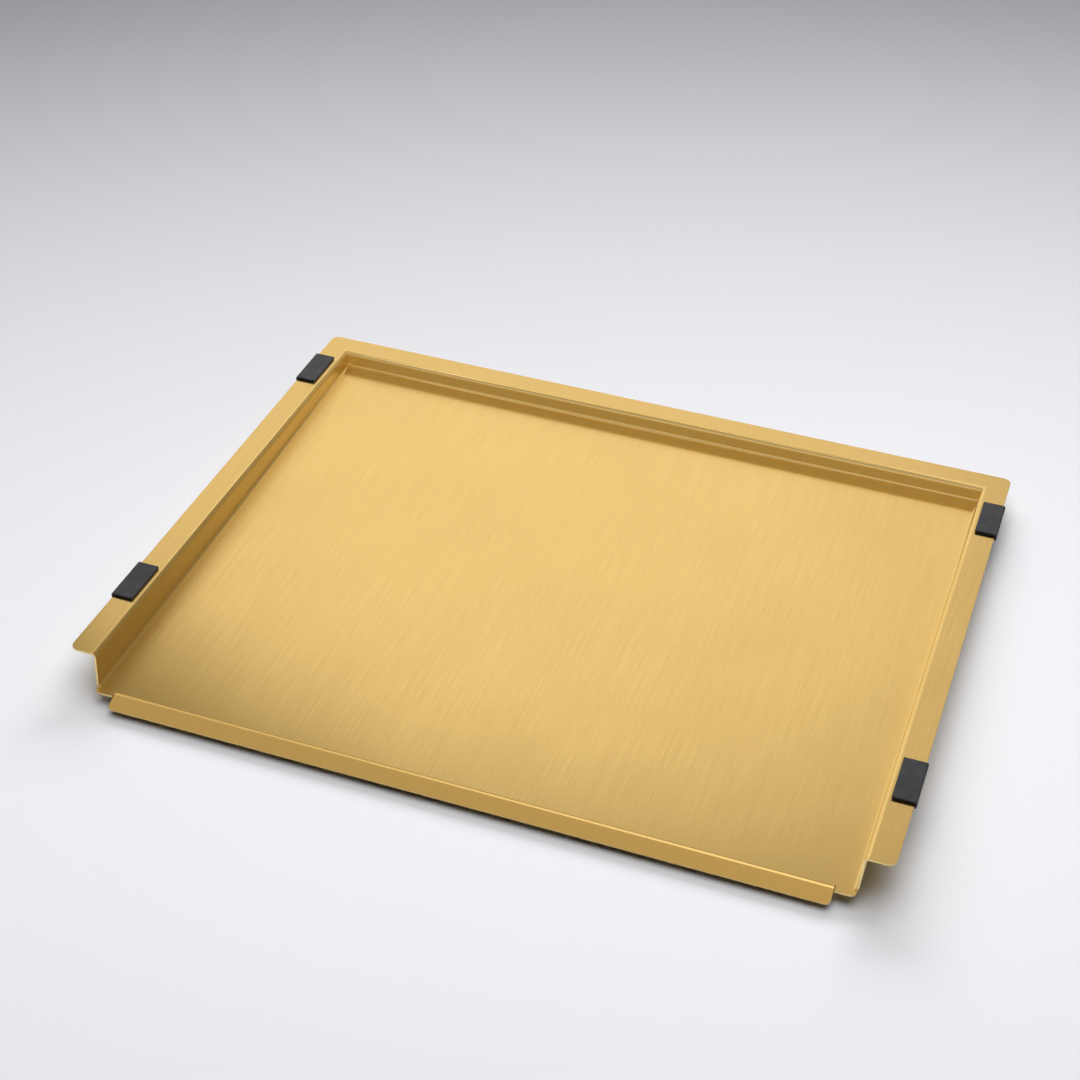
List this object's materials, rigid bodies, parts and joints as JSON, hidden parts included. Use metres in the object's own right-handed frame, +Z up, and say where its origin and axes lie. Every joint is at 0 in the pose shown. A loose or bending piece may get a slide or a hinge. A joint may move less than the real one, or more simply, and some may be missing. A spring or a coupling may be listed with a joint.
{
  "type": "sink drainer tray",
  "caption": "Shallow folded brass tray with an outward rim on the back and sides, an open front with a drip lip, and black rubber pads pushed onto the side rims.",
  "frame": {"origin": "centre of the bounding box, on the surface that the tray stands on", "axes": "+X to the right along the width, +Y to the back wall, +Z up; the open side with the lip faces -Y"},
  "size_m": [0.4474, 0.3554, 0.0251],
  "materials": {
    "brass": "brushed from front to back",
    "rubber": "matt black"
  },
  "bodies": {
    "tray": {"tray": "brass"},
    "pad_left_rear": {"pad_left_rear": "rubber"},
    "pad_left_front": {"pad_left_front": "rubber"},
    "pad_right_rear": {"pad_right_rear": "rubber"},
    "pad_right_front": {"pad_right_front": "rubber"}
  },
  "joints": [
    {"name": "pad_left_rear_pull", "type": "slide", "parent": "tray", "child": "pad_left_rear", "axis": [-1, 0, 0], "range_m": [0, 0.0135]},
    {"name": "pad_left_front_pull", "type": "slide", "parent": "tray", "child": "pad_left_front", "axis": [-1, 0, 0], "range_m": [0, 0.0135]},
    {"name": "pad_right_rear_pull", "type": "slide", "parent": "tray", "child": "pad_right_rear", "axis": [1, 0, 0], "range_m": [0, 0.0135]},
    {"name": "pad_right_front_pull", "type": "slide", "parent": "tray", "child": "pad_right_front", "axis": [1, 0, 0], "range_m": [0, 0.0135]}
  ]
}
